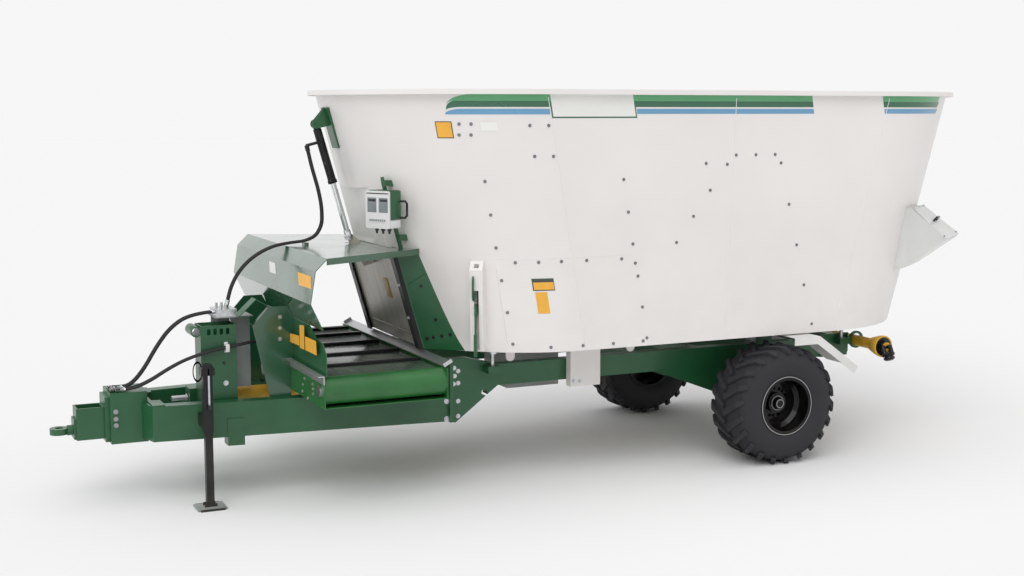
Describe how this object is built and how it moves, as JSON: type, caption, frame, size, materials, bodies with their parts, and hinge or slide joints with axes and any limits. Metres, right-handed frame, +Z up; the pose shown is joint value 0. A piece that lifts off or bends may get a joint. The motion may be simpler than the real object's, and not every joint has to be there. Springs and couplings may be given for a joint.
{
  "type": "feed mixer wagon",
  "caption": "Towed vertical feed mixer: tapered oval tub with screw augers, front door and cross conveyor under a hood, drawbar with eye and jack, single axle.",
  "frame": {"origin": "on the ground under the middle of the wagon's box", "axes": "+X forward to the towing eye, +Y to the wagon's left, +Z up"},
  "size_m": [7.084, 2.4901, 2.713],
  "materials": {
    "painted_green": "satin paint",
    "painted_white": "satin paint",
    "painted_black": "satin paint",
    "painted_grey": "satin paint",
    "gloss_black": "gloss paint",
    "bare_steel": "brushed",
    "dark_steel": "worn",
    "chrome_steel": "polished",
    "yellow_plastic": "matt",
    "white_plastic": "matt",
    "black_rubber": "matt",
    "tyre_rubber": "matt"
  },
  "bodies": {
    "wagon": {"chassis_frame": "painted_green", "drawbar_frame": "painted_green", "hitch_head": "painted_green", "towing_eye": "bare_steel", "axle_beam": "painted_black", "load_cells": "bare_steel", "mixing_tub": "painted_white", "door_frame": "painted_green", "cylinder_bracket": "painted_green", "guide_rails": "painted_black", "chute_lip": "bare_steel", "conveyor_bed": "painted_green", "conveyor_slats": "dark_steel", "conveyor_shafts": "bare_steel", "conveyor_motor": "painted_black", "deflector_hood": "painted_green", "feed_board": "painted_green", "edge_strip": "bare_steel", "control_tower": "painted_green", "hose_guide": "painted_green", "valve_stand": "painted_grey", "valve_block": "bare_steel", "display_bracket": "painted_green", "display_unit": "white_plastic", "cylinder_barrel": "painted_black", "auger_gearboxes": "painted_grey", "driveline_guards": "yellow_plastic", "mudguards": "painted_white", "stowed_shaft": "yellow_plastic", "additive_hopper": "painted_white", "jack_mount": "painted_black", "cylinder_hoses": "black_rubber", "hose_upper_1": "black_rubber", "hose_upper_2": "black_rubber", "hose_lower_1": "black_rubber", "hose_lower_2": "black_rubber", "hose_couplers": "bare_steel", "counter_guides": "painted_green"},
    "door": {"discharge_door": "bare_steel", "cylinder_rod": "chrome_steel"},
    "auger_front": {"auger_front": "dark_steel", "knives_front": "bare_steel"},
    "auger_rear": {"auger_rear": "dark_steel", "knives_rear": "bare_steel"},
    "input_shaft": {"input_shaft": "bare_steel"},
    "hopper_lid": {"hopper_lid": "painted_white"},
    "counter_knife_left": {"counter_knife_left": "painted_green"},
    "counter_knife_right": {"counter_knife_right": "painted_green"},
    "jack_leg": {"jack_leg": "painted_black"},
    "wheel_left": {"rim_left": "gloss_black", "tyre_left": "tyre_rubber"},
    "wheel_right": {"rim_right": "gloss_black", "tyre_right": "tyre_rubber"}
  },
  "joints": [
    {"name": "door_slide", "type": "slide", "parent": "wagon", "child": "door", "axis": [0.2768, 0, 0.9609], "range_m": [0, 0.34]},
    {"name": "auger_front_turn", "type": "hinge", "parent": "wagon", "child": "auger_front", "pos_m": [0.128, 0, 1.5], "axis": [0, 0, 1], "continuous": true},
    {"name": "auger_rear_turn", "type": "hinge", "parent": "wagon", "child": "auger_rear", "pos_m": [-1.952, 0, 1.5], "axis": [0, 0, 1], "continuous": true},
    {"name": "input_shaft_turn", "type": "hinge", "parent": "wagon", "child": "input_shaft", "pos_m": [2.6, 0, 0.635], "axis": [1, 0, 0], "continuous": true},
    {"name": "hopper_lid_hinge", "type": "hinge", "parent": "wagon", "child": "hopper_lid", "pos_m": [-2.83652, 0.90592, 1.835], "axis": [0.7934, 0.6088, 0], "range_deg": [0, 80]},
    {"name": "counter_knife_left_hinge", "type": "hinge", "parent": "wagon", "child": "counter_knife_left", "pos_m": [0.86139, 0.89544, 1.29], "axis": [0.8039, -0.5948, 0], "range_deg": [0, 40]},
    {"name": "counter_knife_right_hinge", "type": "hinge", "parent": "wagon", "child": "counter_knife_right", "pos_m": [-2.68813, -0.89544, 1.29], "axis": [-0.8039, 0.5948, 0], "range_deg": [0, 40]},
    {"name": "jack_slide", "type": "slide", "parent": "wagon", "child": "jack_leg", "axis": [0, 0, 1], "range_m": [0, 0.25]},
    {"name": "wheel_left_turn", "type": "hinge", "parent": "wagon", "child": "wheel_left", "pos_m": [-1.468, 0.987, 0.437], "axis": [0, 1, 0], "continuous": true},
    {"name": "wheel_right_turn", "type": "hinge", "parent": "wagon", "child": "wheel_right", "pos_m": [-1.468, -0.987, 0.437], "axis": [0, 1, 0], "continuous": true}
  ],
  "couplings": [
    {"joint": "auger_rear_turn", "follows": "auger_front_turn", "ratio": 1}
  ]
}
